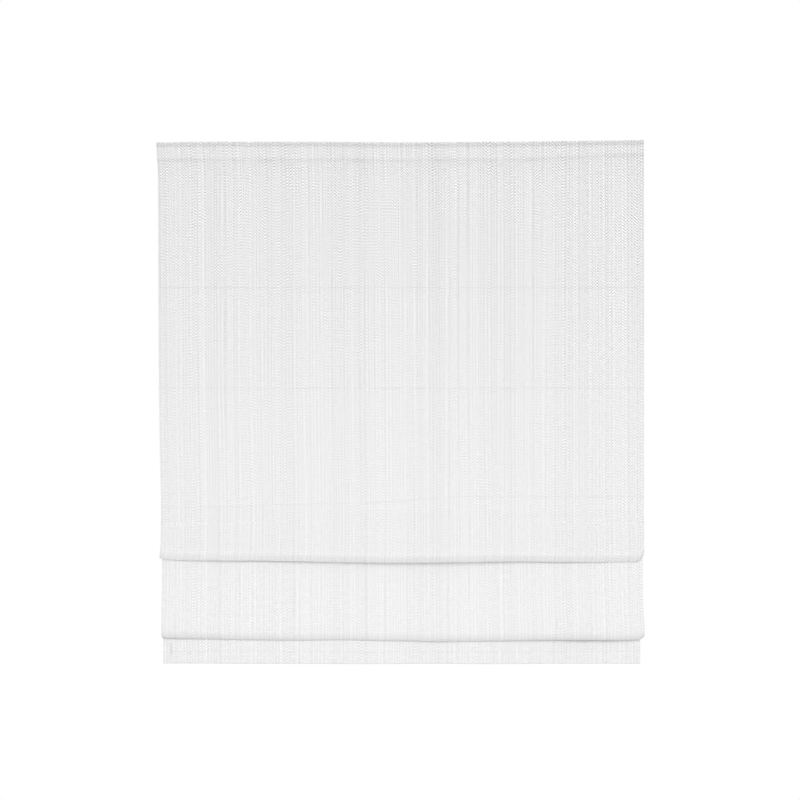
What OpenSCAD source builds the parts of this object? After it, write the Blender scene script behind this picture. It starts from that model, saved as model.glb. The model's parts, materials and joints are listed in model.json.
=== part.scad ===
// Roman blind, partly raised: one cloth with two standing folds, rods in sewn pockets, a weighted hem,
// and a spring-lift headrail that winds three lift bands.
// Millimetres. X runs along the blind, Y from the room to the wall, Z up.
// The origin is on the wall, at the centre of the four bracket holes.

/* [Cloth] */
// Width of the finished cloth
cloth_w = 1000; // [800:10:1300]
// Thickness of the cloth
cloth_t = 0.9; // [0.6:0.1:1.2]
// Height of the top edge above the bracket holes
cloth_top = 19; // [17:0.5:24]
// Height of the hem turned back at the top edge
top_hem_h = 38; // [32:1:48]
// Gap between the two layers of the top hem
hem_layer_gap = 0.4; // [0.2:0.1:1]
// Drop from the top edge to the first rod seam
seam_1_drop = 300; // [200:5:400]
// Distance from the first rod seam to the second
seam_2_gap = 207; // [120:1:300]
// Distance from the second rod seam to the third
seam_3_gap = 234; // [120:1:300]
// Distance from the third rod seam to the fourth, behind the upper fold
seam_4_gap = 48; // [40:1:60]
// Distance from the upper fold's lower edge to the fifth rod seam
seam_5_gap = 105; // [60:1:120]
// Height of the upper fold, from the third rod seam to its lower edge
upper_fold_h = 123; // [100:1:160]
// Height of the lower fold that shows under the upper one
lower_fold_h = 161; // [150:1:200]
// Height of the hem that shows under the lower fold
hem_show_h = 47; // [42:1:90]
// How far the upper fold stands out from the flat cloth
upper_fold_reach = 18; // [17:0.5:26]
// How far the lower fold stands out from the flat cloth
lower_fold_reach = 15; // [14:0.5:22]
// Radius of the upper fold's lower edge, to the middle of the cloth
upper_fold_r = 7.5; // [6:0.25:7.75]
// Radius of the lower fold's lower edge, to the middle of the cloth
lower_fold_r = 6; // [4.5:0.25:6.25]
// Radius at which the cloth turns over behind a fold
turn_r = 3; // [2:0.25:3.5]

/* [Rods] */
// Diameter of a rod
rod_d = 4; // [3:0.5:5]
// Distance from the cloth's side edge to the rod's end
rod_inset = 18; // [14:1:30]
// Play of a rod in its pocket, all round
rod_play = 0.3; // [0.2:0.1:0.6]
// Thickness of the pocket tape
pocket_t = 0.6; // [0.4:0.1:1]
// Height of the pocket tape, between its two edges
pocket_h = 13; // [11:0.5:14]
// Distance from the cloth's side edge to the end of a pocket
pocket_inset = 14; // [8:1:16]

/* [Bottom bar] */
// Height of the bottom bar
bar_h = 15; // [12:0.5:16]
// Thickness of the bottom bar
bar_t = 3; // [2:0.5:4]
// Play between the bar and the hem, on each side
bar_play = 0.3; // [0.2:0.1:0.6]
// Distance from the cloth's side edge to the bar's capped end
bar_inset = 15; // [10:1:30]
// Length of each cap on the bar's ends
bar_cap_l = 4; // [3:0.5:10]
// Height of the hem's stitched line above its lower edge
hem_seam_h = 23; // [22:0.5:26]
// Height of cloth turned in above the stitched line
hem_turn_in = 6; // [4:0.5:10]

/* [Headrail] */
// Depth of the rail, front to back
rail_depth = 36; // [33:0.5:42]
// Height of the rail's box
rail_h = 27.5; // [25:0.5:30]
// Wall of the rail
rail_wall = 1.5; // [1.2:0.1:2]
// Distance from the bracket holes down to the rail's lower edge
rail_below = 18; // [16:0.5:19]
// Width of the lips along the rail's open underside
rail_lip = 3; // [2:0.25:4]
// Distance from the cloth's side edge to the rail's end
rail_inset = 8; // [5:1:30]
// Inside width of the mounting slot on top of the rail
slot_w = 21; // [18:0.5:24]
// Width of the mouth of the mounting slot
slot_mouth = 12; // [9:0.5:14]
// Height of the mounting slot's ribs
slot_h = 3; // [2.8:0.1:4]
// Thickness of the mounting slot's ribs and flanges
slot_rib = 1.2; // [1:0.1:1.5]
// Thickness of an end cap's plate
cap_t = 2.5; // [2:0.1:4]
// Depth that an end cap plugs into the rail
cap_plug = 9; // [8:0.5:14]
// Thickness of each of the two fastening tapes
tape_t = 1.2; // [0.8:0.1:1.6]
// Height of the fastening tapes
tape_h = 24; // [20:0.5:26]

/* [Brackets] */
// Distance from the cloth's side edge to the middle of a bracket
bracket_inset = 180; // [60:5:300]
// Width of a bracket
bracket_w = 30; // [24:1:40]
// Thickness of the bracket's steel
bracket_t = 1.5; // [1.2:0.1:2]
// Diameter of a screw hole
screw_hole_d = 4.5; // [4:0.1:5.5]
// Distance between the two screw holes of one bracket
screw_pitch = 16; // [14:0.5:18]
// Room for screw heads between the bracket and the rail
screw_head_gap = 6.5; // [5:0.5:10]

/* [Lift] */
// Distance from the cloth's side edge to the nearest lift band
band_inset = 140; // [60:5:180]
// Width of a lift band
band_w = 10; // [8:0.5:12]
// Thickness of a lift band
band_t = 0.6; // [0.4:0.1:0.8]
// Radius of the spools' cores
spool_core_r = 7; // [6.4:0.1:8]
// Radius of the spools' journals
journal_r = 5; // [4.4:0.1:5.6]
// Thickness of a spool's flange
flange_t = 1.5; // [1:0.1:2]
// Thickness of the cradles' end plates
cradle_t = 3; // [2:0.25:4]
// Width across the flats of the square shaft
shaft_w = 5; // [4:0.1:5.5]
// Length of the lift spring
spring_l = 96; // [70:1:120]
// Mean radius of the lift spring
spring_r = 7.5; // [6.5:0.1:8.5]
// Wire of the lift spring
spring_wire = 1.4; // [1:0.1:1.8]
// Turns of the lift spring
spring_turns = 22; // [10:1:26]
// Distance from the rail's middle to the spring's fixed block
spring_x = 60; // [40:1:100]
// Length of the brake's housing
brake_l = 30; // [24:1:40]
// Distance from the rail's middle to the brake's housing
brake_x = 170; // [120:1:220]
// Wall of the bands' guides
guide_wall = 1.4; // [1:0.1:2]
// Height of the bands' guides
guide_h = 8; // [6:0.5:9]
// Height of the anchors that hold the bands' lower ends
anchor_h = 12; // [9:0.5:14]

/* [Hidden] */

$fn = 48;
arc_steps = 12;     // segments in a half turn of the cloth
curve_steps = 14;   // segments in a long curve of the cloth
loose = 0.3;        // gap between pieces that slip past or into each other
running = 0.08;     // radial gap of a turning fit
push_on = 0.05;     // gap on each side of the shaft in the pieces that it drives
spool_play = 0.65;  // gap between a spool's flange and the rail's roof
through = 1;        // overshoot of a cutting solid past the face that it opens
corner_r = 1.2;     // radius of the moulded pieces' corners
plate_r = 4;        // radius of the brackets' lower corners

// Headrail section
rail_back = -(bracket_t + screw_head_gap);
rail_front = rail_back - rail_depth;
rail_low = -rail_below;
rail_top = rail_low + rail_h;
rail_l = cloth_w - 2 * rail_inset;
room_back = rail_back - rail_wall;
room_front = rail_front + rail_wall;
room_low = rail_low + rail_wall;
room_top = rail_top - rail_wall;
slot_top = rail_top + slot_h;

// Shaft, spools and bands
axis_y = (rail_front + rail_back) / 2;
axis_z = (room_low + room_top) / 2;
flange_r = (room_top - room_low) / 2 - spool_play;
lift_r = flange_r - 1;
band_y = axis_y - lift_r;
turns_r = lift_r - band_t / 2 - loose;
spool_gap = band_w + 2;
spool_half = spool_gap / 2 + flange_t;
cradle_in = spool_half + loose;
cradle_out = cradle_in + cradle_t;
boss_r = journal_r + 3;
shaft_half = rail_l / 2 - 2 * loose;
band_side = cloth_w / 2 - band_inset;
band_x = [-band_side, 0, band_side];

// Cloth section: the fastening tapes set how far in front of the rail it hangs
tape_y = rail_front - tape_t;
hem_back_y = tape_y - tape_t - cloth_t / 2;
cloth_y = hem_back_y - cloth_t - hem_layer_gap;
cloth_back = cloth_y + cloth_t / 2;
top_hem_r = (hem_back_y - cloth_y) / 2;
seam_1_z = cloth_top - seam_1_drop;
seam_2_z = seam_1_z - seam_2_gap;
seam_3_z = seam_2_z - seam_3_gap;
upper_fold_z = seam_3_z - upper_fold_h;
lower_fold_z = upper_fold_z - lower_fold_h;
hem_z = lower_fold_z - hem_show_h;
seam_z = [seam_1_z, seam_2_z, seam_3_z, seam_3_z - seam_4_gap, upper_fold_z - seam_5_gap];
pocket_land = pocket_h / 2 + 0.5;   // flat cloth on each side of a rod seam
early_belly = [0.12, 0.68];         // pulls of a front that swells out close under its seam
late_belly = [0.7, 0.2];            // pulls of a front that hangs flat behind the fold above it

// Rod, pocket, guide and bar
pocket_in_r = rod_d / 2 + rod_play;
pocket_out_r = pocket_in_r + pocket_t;
rod_y = cloth_back + pocket_out_r;
guide_back = band_y + band_t / 2 + loose + guide_wall;
guide_w = band_w + 2 * loose + 2 * guide_wall;
hem_r = (bar_t + 2 * bar_play + cloth_t) / 2;
bar_y = cloth_y + hem_r;
bar_low = hem_z + cloth_t / 2 + hem_r - bar_t / 2;
bar_half = cloth_w / 2 - bar_inset - bar_cap_l;
hem_turn_z = hem_z + cloth_t / 2 + hem_r;
hem_back_face = cloth_y + 2 * hem_r + cloth_t / 2;
anchor_z = bar_low + bar_h / 2 - anchor_h / 2;
anchor_w = guide_w + 2;

// Lift spring and brake
spring_block_l = 12;
spring_start = spring_x + spring_block_l;
collar_x = spring_start + spring_l;
collar_l = 10;
collar_r = spring_r + 1.5;
brake_hub_r = journal_r + 2;

// A section drawn in Y and Z, run along X from x0 to x1
module along_x(x0, x1) {
    translate([x0, 0, 0]) rotate([90, 0, 90]) linear_extrude(x1 - x0) children();
}

// A rectangle between two corners of a section
module box2(low, high) {
    translate(low) square(high - low);
}

// The same with round corners
module rounded_box2(low, high, r) {
    box2(low + [r, 0], high - [r, 0]);
    box2(low + [0, r], high - [0, r]);
    for (y = [low[0] + r, high[0] - r], z = [low[1] + r, high[1] - r]) translate([y, z]) circle(r = r);
}

// A round bar along X on the shaft's axis
module turned(x0, x1, r) {
    translate([x0, axis_y, axis_z]) rotate([0, 90, 0]) cylinder(h = x1 - x0, r = r);
}

// The square hole that the shaft drives
module shaft_hole(x0, x1) {
    half = shaft_w / 2 + push_on;
    along_x(x0 - through, x1 + through) box2([axis_y - half, axis_z - half], [axis_y + half, axis_z + half]);
}

// The cloth's path: points [y, z, heading], where heading is the direction of travel in degrees
function straight(y0, z0, y1, z1, heading) = [[y0, z0, heading], [y1, z1, heading]];
function left_turn(cy, cz, r, from) = [
    for (i = [1 : arc_steps - 1]) let (a = from + 180 * i / arc_steps)
        [cy + r * sin(a), cz - r * cos(a), a]
];
function right_turn(cy, cz, r, from) = [
    for (i = [1 : arc_steps - 1]) let (a = from - 180 * i / arc_steps)
        [cy - r * sin(a), cz + r * cos(a), a]
];
// A curve between two points that leaves and arrives straight up or down, with pulls as shares of the rise
function sway(y0, z0, y1, z1, pull0, pull1) = [
    for (i = [1 : curve_steps - 1]) let (
        t = i / curve_steps,
        s = 1 - t,
        h = z1 - z0,
        za = z0 + pull0 * h,
        zb = z1 - pull1 * h,
        y = (s * s * s + 3 * s * s * t) * y0 + (3 * s * t * t + t * t * t) * y1,
        z = s * s * s * z0 + 3 * s * s * t * za + 3 * s * t * t * zb + t * t * t * z1,
        dy = 6 * s * t * (y1 - y0),
        dz = 3 * s * s * (za - z0) + 6 * s * t * (zb - za) + 3 * t * t * (z1 - zb)
    ) [y, z, atan2(dz, dy)]
];
// Down from a seam, round the fold's lower edge, back up and over to the next seam
function fold(seam_above, edge_z, reach, r, seam_below, belly) = let (
    start_z = seam_above - pocket_land,
    front_y = cloth_y - reach,
    edge_mid = edge_z + cloth_t / 2 + r,
    over_z = seam_below + pocket_land
) concat(
    [[cloth_y, start_z, -90]],
    sway(cloth_y, start_z, front_y, edge_mid, belly[0], belly[1]),
    [[front_y, edge_mid, -90]],
    left_turn(front_y + r, edge_mid, r, -90),
    [[front_y + 2 * r, edge_mid, 90]],
    sway(front_y + 2 * r, edge_mid, cloth_y - 2 * turn_r, over_z, 0.4, 0.4),
    [[cloth_y - 2 * turn_r, over_z, 90]],
    right_turn(cloth_y - turn_r, over_z, turn_r, 90),
    [[cloth_y, over_z, -90]]
);
function top_hem() = let (mid_z = cloth_top - cloth_t / 2 - top_hem_r) concat(
    straight(hem_back_y, cloth_top - top_hem_h, hem_back_y, mid_z, 90),
    left_turn(cloth_y + top_hem_r, mid_z, top_hem_r, 90),
    [[cloth_y, mid_z, -90]]
);
function bottom_hem() = let (
    back_y = cloth_y + 2 * hem_r,
    tuck_y = cloth_y + cloth_t + hem_layer_gap,
    bend_z = bar_low + bar_h + bar_play,
    seam = hem_z + hem_seam_h
) concat(
    [[cloth_y, hem_turn_z, -90]],
    left_turn(bar_y, hem_turn_z, hem_r, -90),
    straight(back_y, hem_turn_z, back_y, bend_z, 90),
    sway(back_y, bend_z, tuck_y, seam, 0.4, 0.4),
    straight(tuck_y, seam, tuck_y, seam + hem_turn_in, 90)
);
cloth_path = concat(
    top_hem(),
    fold(seam_z[2], upper_fold_z, upper_fold_reach, upper_fold_r, seam_z[3], early_belly),
    fold(seam_z[3], lower_fold_z, lower_fold_reach, lower_fold_r, seam_z[4], late_belly),
    bottom_hem()
);
function beside(path, d) = [for (p = path) [p[0] - d * sin(p[2]), p[1] + d * cos(p[2])]];
function reversed(list) = [for (i = [len(list) - 1 : -1 : 0]) list[i]];

// The cloth is one sheet: turned back at the top, folded twice, and turned round the bar at the hem
module cloth_panel() {
    color("whitesmoke") along_x(-cloth_w / 2, cloth_w / 2)
        polygon(concat(beside(cloth_path, cloth_t / 2), reversed(beside(cloth_path, -cloth_t / 2))));
}

module fastening_tape(back_y, length) {
    along_x(-length / 2, length / 2) box2([back_y - tape_t, -tape_h / 2], [back_y, tape_h / 2]);
}
module hook_tape() {
    color("white") fastening_tape(rail_front, rail_l - 2 * cap_t);
}
module loop_tape() {
    color("ivory") fastening_tape(tape_y, rail_l);
}

// The rail is a box open below between two lips, with a mounting slot along its top
module rail_section() {
    difference() {
        rounded_box2([rail_front, rail_low], [rail_back, rail_top], rail_wall);
        box2([room_front, room_low], [room_back, room_top]);
        box2([room_front + rail_lip, rail_low - through], [room_back - rail_lip, room_low + through]);
    }
    for (side = [0, 1]) translate([axis_y, 0]) mirror([side, 0]) {
        box2([slot_w / 2, rail_top], [slot_w / 2 + slot_rib, slot_top]);
        box2([slot_mouth / 2, slot_top - slot_rib], [slot_w / 2 + slot_rib, slot_top]);
    }
}
module headrail() {
    color("silver") along_x(-rail_l / 2, rail_l / 2) rail_section();
}

// An end cap covers the rail's end, plugs into it and holds the shaft's bush
module end_cap(side) {
    face = rail_l / 2;
    low = [room_front + loose, room_low + loose];
    high = [room_back - loose, room_top - loose];
    color("white") mirror([side < 0 ? 1 : 0, 0, 0]) difference() {
        union() {
            along_x(face, face + cap_t) rounded_box2([rail_front, rail_low], [rail_back, rail_top], rail_wall);
            along_x(face - cap_plug, face + cap_t / 2) difference() {
                box2(low, high);
                box2(low + [cap_t, cap_t], high - [cap_t, cap_t]);
            }
            turned(face - cap_plug, face + cap_t / 2, boss_r);
        }
        turned(face - cap_plug - through, face, journal_r + running);
    }
}

// A bracket hooks into the rail's slot and screws to the wall
module bracket(side) {
    foot_low = rail_top + loose;
    foot_high = slot_top - slot_rib - loose;
    plate_low = slot_top + loose;
    plate_high = plate_low + bracket_t;
    foot_half = slot_w / 2 - loose;
    neck_half = slot_mouth / 2 - loose;
    flange_low = -screw_pitch / 2 - screw_hole_d;
    x = side * (cloth_w / 2 - bracket_inset);
    color("gainsboro") difference() {
        intersection() {
            along_x(x - bracket_w / 2, x + bracket_w / 2) {
                box2([axis_y - foot_half, foot_low], [axis_y + foot_half, foot_high]);
                box2([axis_y - neck_half, foot_low], [axis_y + neck_half, plate_high]);
                box2([axis_y - neck_half, plate_low], [0, plate_high]);
                box2([-bracket_t, flange_low], [0, plate_high]);
            }
            translate([x, through, 0]) rotate([90, 0, 0]) linear_extrude(rail_depth + 4 * screw_head_gap)
                rounded_box2([-bracket_w / 2, flange_low], [bracket_w / 2, plate_high + 2 * plate_r], plate_r);
        }
        for (z = [-1, 1] * screw_pitch / 2)
            translate([x, through, z]) rotate([90, 0, 0]) cylinder(h = bracket_t + 2 * through, d = screw_hole_d);
    }
}

// A cradle: two end plates that carry a spool's journals, tied along the rail's lower corners
module spool_cradle(x) {
    low = [room_front + loose, room_low + loose];
    high = [room_back - loose, room_top - loose];
    tie = [2, 5];
    color("white") difference() {
        union() {
            for (side = [-1, 1])
                along_x(x + min(side * cradle_in, side * cradle_out), x + max(side * cradle_in, side * cradle_out))
                    box2(low, high);
            along_x(x - cradle_out, x + cradle_out) {
                box2(low, low + tie);
                box2([high[0] - tie[0], low[1]], [high[0], low[1] + tie[1]]);
            }
        }
        turned(x - cradle_out - through, x + cradle_out + through, journal_r + running);
    }
}

// A spool: flanged drum on two journals, driven by the square shaft
module band_spool(x) {
    end = cradle_out + loose;
    color("lightgray") difference() {
        union() {
            turned(x - end, x + end, journal_r);
            turned(x - spool_half, x + spool_half, spool_core_r);
            for (side = [-1, 1]) turned(x + side * (spool_half - flange_t / 2) - flange_t / 2,
                                        x + side * (spool_half - flange_t / 2) + flange_t / 2, flange_r);
        }
        shaft_hole(x - end, x + end);
    }
}

// The turns of band wound on each spool
module band_turns() {
    color("white") for (x = band_x) difference() {
        turned(x - band_w / 2, x + band_w / 2, turns_r);
        turned(x - band_w, x + band_w, spool_core_r);
    }
}

module lift_shaft() {
    half = shaft_w / 2;
    color("slategray") along_x(-shaft_half, shaft_half)
        box2([axis_y - half, axis_z - half], [axis_y + half, axis_z + half]);
}
module driven_ring(x0, x1, r) {
    difference() {
        turned(x0, x1, r);
        shaft_hole(x0, x1);
    }
}
module shaft_bushes() {
    color("lightgray") for (side = [-1, 1]) mirror([side < 0 ? 1 : 0, 0, 0])
        driven_ring(rail_l / 2 - cap_plug - 1, shaft_half, journal_r);
}

// The spring's fixed block fills the rail's section and clears the shaft
module spring_block() {
    color("white") difference() {
        along_x(spring_x, spring_start)
            box2([room_front + loose, room_low + loose], [room_back - loose, room_top - loose]);
        turned(spring_x - through, spring_start + through, spring_r - spring_wire / 2 - loose);
    }
}
function spring_point(u, a) = let (
    half = spring_wire / 2,
    travel = spring_l - spring_wire - 2 * loose,
    r = spring_r + half * cos(a),
    turn = 360 * spring_turns * u
) [spring_start + loose + half + travel * u + half * sin(a), axis_y + r * cos(turn), axis_z + r * sin(turn)];
// A helical torsion spring round the shaft
module lift_spring() {
    sides = 6;
    rings = round(spring_turns) * 10;
    points = [for (i = [0 : rings], k = [0 : sides - 1]) spring_point(i / rings, 360 * k / sides)];
    walls = [
        for (i = [0 : rings - 1], k = [0 : sides - 1]) let (n = (k + 1) % sides)
            [i * sides + k, (i + 1) * sides + k, (i + 1) * sides + n, i * sides + n]
    ];
    first = [for (k = [0 : sides - 1]) k];
    last = [for (k = [sides - 1 : -1 : 0]) rings * sides + k];
    color("dimgray") polyhedron(points, concat(walls, [first, last]));
}
module spring_collar() {
    color("lightgray") driven_ring(collar_x, collar_x + collar_l, collar_r);
}

// The brake: a hub on the shaft that drags in a fixed housing
module brake_housing() {
    color("white") difference() {
        along_x(-brake_x - brake_l, -brake_x)
            box2([room_front + loose, room_low + loose], [room_back - loose, room_top - loose]);
        turned(-brake_x - brake_l - through, -brake_x + through, brake_hub_r + running);
    }
}
module brake_hub() {
    color("lightgray") driven_ring(-brake_x - brake_l - 2, -brake_x + 2, brake_hub_r);
}

// A lift band hangs from its spool to its anchor on the hem
module lift_band(x) {
    color("white") along_x(x - band_w / 2, x + band_w / 2)
        box2([band_y - band_t / 2, anchor_z + guide_wall + loose], [band_y + band_t / 2, axis_z]);
}

module rod(i) {
    color("snow") along_x(-cloth_w / 2 + rod_inset, cloth_w / 2 - rod_inset)
        translate([rod_y, seam_z[i]]) circle(d = rod_d);
}
// A pocket: tape sewn flat to the back of the cloth, with a tunnel for the rod
module rod_pocket(i) {
    color("white") along_x(-cloth_w / 2 + pocket_inset, cloth_w / 2 - pocket_inset)
        translate([cloth_back, seam_z[i]]) difference() {
            union() {
                box2([0, -pocket_h / 2], [pocket_t, pocket_h / 2]);
                translate([pocket_out_r, 0]) circle(r = pocket_out_r);
            }
            translate([pocket_out_r, 0]) circle(r = pocket_in_r);
        }
}
// The slot that a band runs in
module band_slot(x, low, high) {
    half = band_w / 2 + loose;
    along_x(x - half, x + half)
        box2([band_y - band_t / 2 - loose, low], [band_y + band_t / 2 + loose, high]);
}
// Guides sit on a pocket's tunnel and keep the bands behind the rods
module band_guides(i) {
    z = seam_z[i];
    color("white") for (x = band_x) difference() {
        along_x(x - guide_w / 2, x + guide_w / 2) difference() {
            rounded_box2([rod_y, z - guide_h / 2], [guide_back, z + guide_h / 2], corner_r);
            translate([rod_y, z]) circle(r = pocket_out_r + push_on);
        }
        band_slot(x, z - guide_h, z + guide_h);
    }
}

// The bottom bar is a flat bar with round edges, capped at both ends
module bar_section() {
    box2([bar_y - bar_t / 2, bar_low + bar_t / 2], [bar_y + bar_t / 2, bar_low + bar_h - bar_t / 2]);
    for (z = [bar_low + bar_t / 2, bar_low + bar_h - bar_t / 2]) translate([bar_y, z]) circle(d = bar_t);
}
module bottom_bar() {
    color("silver") along_x(-bar_half, bar_half) bar_section();
}
module bar_end_caps() {
    color("white") {
        along_x(-bar_half - bar_cap_l, -bar_half) bar_section();
        along_x(bar_half, bar_half + bar_cap_l) bar_section();
    }
}
// Anchors on the back of the hem hold the bands' lower ends
module band_anchors() {
    color("white") for (x = band_x) difference() {
        along_x(x - anchor_w / 2, x + anchor_w / 2)
            rounded_box2([hem_back_face, anchor_z], [guide_back, anchor_z + anchor_h], corner_r);
        band_slot(x, anchor_z + guide_wall, anchor_z + anchor_h + through);
    }
}

cloth_panel();
loop_tape();
hook_tape();
headrail();
end_cap(-1);  // end_cap_left
end_cap(1);  // end_cap_right
bracket(-1);  // bracket_left
bracket(1);  // bracket_right
spool_cradle(band_x[0]);  // spool_cradle_left
spool_cradle(band_x[1]);  // spool_cradle_centre
spool_cradle(band_x[2]);  // spool_cradle_right
band_spool(band_x[0]);  // band_spool_left
band_spool(band_x[1]);  // band_spool_centre
band_spool(band_x[2]);  // band_spool_right
band_turns();
lift_shaft();
shaft_bushes();
spring_block();
lift_spring();
spring_collar();
brake_housing();
brake_hub();
lift_band(band_x[0]);  // lift_band_left
lift_band(band_x[1]);  // lift_band_centre
lift_band(band_x[2]);  // lift_band_right
for (i = [0 : len(seam_z) - 1]) {
    rod(i);
    rod_pocket(i);
    band_guides(i);
}
bottom_bar();
bar_end_caps();
band_anchors();
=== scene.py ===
# White Roman blind, partly raised into two standing folds
# Sizes are metres in the CAD frame: the wall is y = 0, the room lies at negative y, and z is up.

import json
import math
from collections import namedtuple
from functools import partial

import bpy
import numpy as np
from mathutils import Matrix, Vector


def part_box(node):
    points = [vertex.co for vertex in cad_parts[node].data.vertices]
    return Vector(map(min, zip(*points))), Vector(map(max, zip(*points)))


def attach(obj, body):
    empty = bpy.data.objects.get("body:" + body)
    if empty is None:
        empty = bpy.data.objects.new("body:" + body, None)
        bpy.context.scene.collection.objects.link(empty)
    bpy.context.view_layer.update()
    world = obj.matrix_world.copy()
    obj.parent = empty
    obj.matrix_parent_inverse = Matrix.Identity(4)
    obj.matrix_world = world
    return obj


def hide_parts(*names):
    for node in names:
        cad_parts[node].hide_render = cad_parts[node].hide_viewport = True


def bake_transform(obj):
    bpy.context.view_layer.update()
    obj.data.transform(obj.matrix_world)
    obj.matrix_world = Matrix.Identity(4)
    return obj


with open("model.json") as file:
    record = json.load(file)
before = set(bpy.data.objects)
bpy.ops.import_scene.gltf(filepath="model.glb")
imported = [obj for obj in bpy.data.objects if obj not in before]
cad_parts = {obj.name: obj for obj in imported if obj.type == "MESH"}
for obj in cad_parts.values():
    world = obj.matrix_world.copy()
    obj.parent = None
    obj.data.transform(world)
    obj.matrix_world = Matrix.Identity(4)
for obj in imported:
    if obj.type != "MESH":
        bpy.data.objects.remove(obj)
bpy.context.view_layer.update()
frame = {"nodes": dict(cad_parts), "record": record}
nodes = frame["nodes"]

MM = 0.001

# Sizes of the cloth, the same as in part.scad
CLOTH_W = 1000 * MM
HALF_W = CLOTH_W / 2
CLOTH_T = 0.9 * MM
TOP_HEM_H = 38 * MM
POCKET_LAND = 7.0 * MM
UPPER_EDGE_Z = -845 * MM
UPPER_REACH = 18 * MM
UPPER_R = 7.5 * MM
LOWER_EDGE_Z = -1006 * MM
LOWER_REACH = 15 * MM
LOWER_R = 6 * MM
TURN_R = 3 * MM
LATE_BELLY = (0.7, 0.2)
HEM_R = 2.25 * MM
HEM_SEAM_H = 23 * MM
HEM_TURN_IN = 6 * MM

# Sizes that the photograph adds to the plain CAD cloth
EARLY_BELLY = (0.3, 0.45)  # pulls of a front that swells out a little lower than in part.scad
SIDE_HEM_W = 14 * MM
SIDE_HEM_T = 0.45 * MM
SIDE_HEM_STEP = 0.06 * MM  # how far it stands behind the cloth, because the pockets press it flat
SIDE_HEM_INSET = 0.4 * MM
PILLOW = 0.45 * MM
GROOVE_W = 1.8 * MM
SIDE_GROOVE_W = 1.2 * MM
SIDE_GROOVE_SHARE = 0.6  # how much of the swelling a side hem's inner edge takes away
TOP_LEAN = 3.4 * MM
TOP_LEAN_H = 13 * MM
TOP_RISE_H = 60 * MM  # height over which the slope of the top edge dies away
EASE = 0.2 * MM  # room left before the pockets, which the puckers don't fill
BAR_EASE = 0.3 * MM  # how far the hem's back goes past the bar before it draws in

# A fold's lip: how far the front draws back to the lower edge, over which height, and how long it goes
# straight down at first and level at last, as shares of that height and depth
UPPER_LIP = (7.5 * MM, 15 * MM, 0.3, 0.08)
LOWER_LIP = (10.5 * MM, 17 * MM, 0.4, 0.47)
UPPER_FOOT_BACK = 1.8 * MM  # how much flatter the upper lip is at the left

# How much of a fold's uneven depth its back shares
UPPER_BEHIND = 0.1
LOWER_BEHIND = 0.5

# How far the cloth strays from an even hang
UPPER_WAVE = 0.7 * MM
LOWER_WAVE = 0.25 * MM
PANEL_WAVE = 0.22 * MM
HEM_WAVE = 0.25 * MM
HEM_SAG = 0.6 * MM
PUCKER = 0.05 * MM
PUCKER_W = 7 * MM

# Places taken from the CAD pieces
SIDES = ("left", "centre", "right")
RODS = range(1, 6)
cloth_low, cloth_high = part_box("cloth_panel")
bar_top_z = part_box("bottom_bar")[1].z
cloth_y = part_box("rod_pocket_1")[0].y - CLOTH_T / 2
hem_back_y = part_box("loop_tape")[0].y - CLOTH_T / 2
seam_z = [sum(corner.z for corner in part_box(f"rod_{i}")) / 2 for i in RODS]
HEM_TOP = cloth_high.z - TOP_HEM_H


# Cloth path

def straight(path, y, z, count=60):
    """Goes on in a straight line to y, z."""
    y0, z0 = path[-1]
    for t in np.linspace(0, 1, count + 1)[1:]:
        path.append((y0 + (y - y0) * t, z0 + (z - z0) * t))


def half_turn(path, width, side, count=32):
    """Goes round half a circle to a point that lies width away, over it for side 1 and under it for -1."""
    y0, z0 = path[-1]
    for a in np.linspace(0, math.pi, count + 1)[1:]:
        path.append((y0 + width / 2 * (1 - math.cos(a)), z0 + side * abs(width) / 2 * math.sin(a)))


def lip(path, depth, height, straight_down, level, count=32):
    """Draws back and down to a fold's lower edge, which it reaches level."""
    y0, z0 = path[-1]
    for t in np.linspace(0, 1, count + 1)[1:]:
        s = 1 - t
        y = 3 * s * t * t * (1 - level) * depth + t ** 3 * depth
        z = (s ** 3 + 3 * s * s * t * (1 - straight_down)) * height
        path.append((y0 + y, z0 + z - height))


def rise(path, depth, height, count=16):
    """Goes up a quarter of an ellipse from a fold's lower edge to its back."""
    y0, z0 = path[-1]
    for a in np.linspace(0, math.pi / 2, count + 1)[1:]:
        path.append((y0 + depth * math.sin(a), z0 + height * (1 - math.cos(a))))


def sway(path, y, z, pulls, count=60):
    """Goes on to y, z on a curve that leaves and arrives straight up or down."""
    y0, z0 = path[-1]
    za = z0 + pulls[0] * (z - z0)
    zb = z - pulls[1] * (z - z0)
    for t in np.linspace(0, 1, count + 1)[1:]:
        s = 1 - t
        path.append((
            (s ** 3 + 3 * s * s * t) * y0 + (3 * s * t * t + t ** 3) * y,
            s ** 3 * z0 + 3 * s * s * t * za + 3 * s * t * t * zb + t ** 3 * z,
        ))


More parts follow.
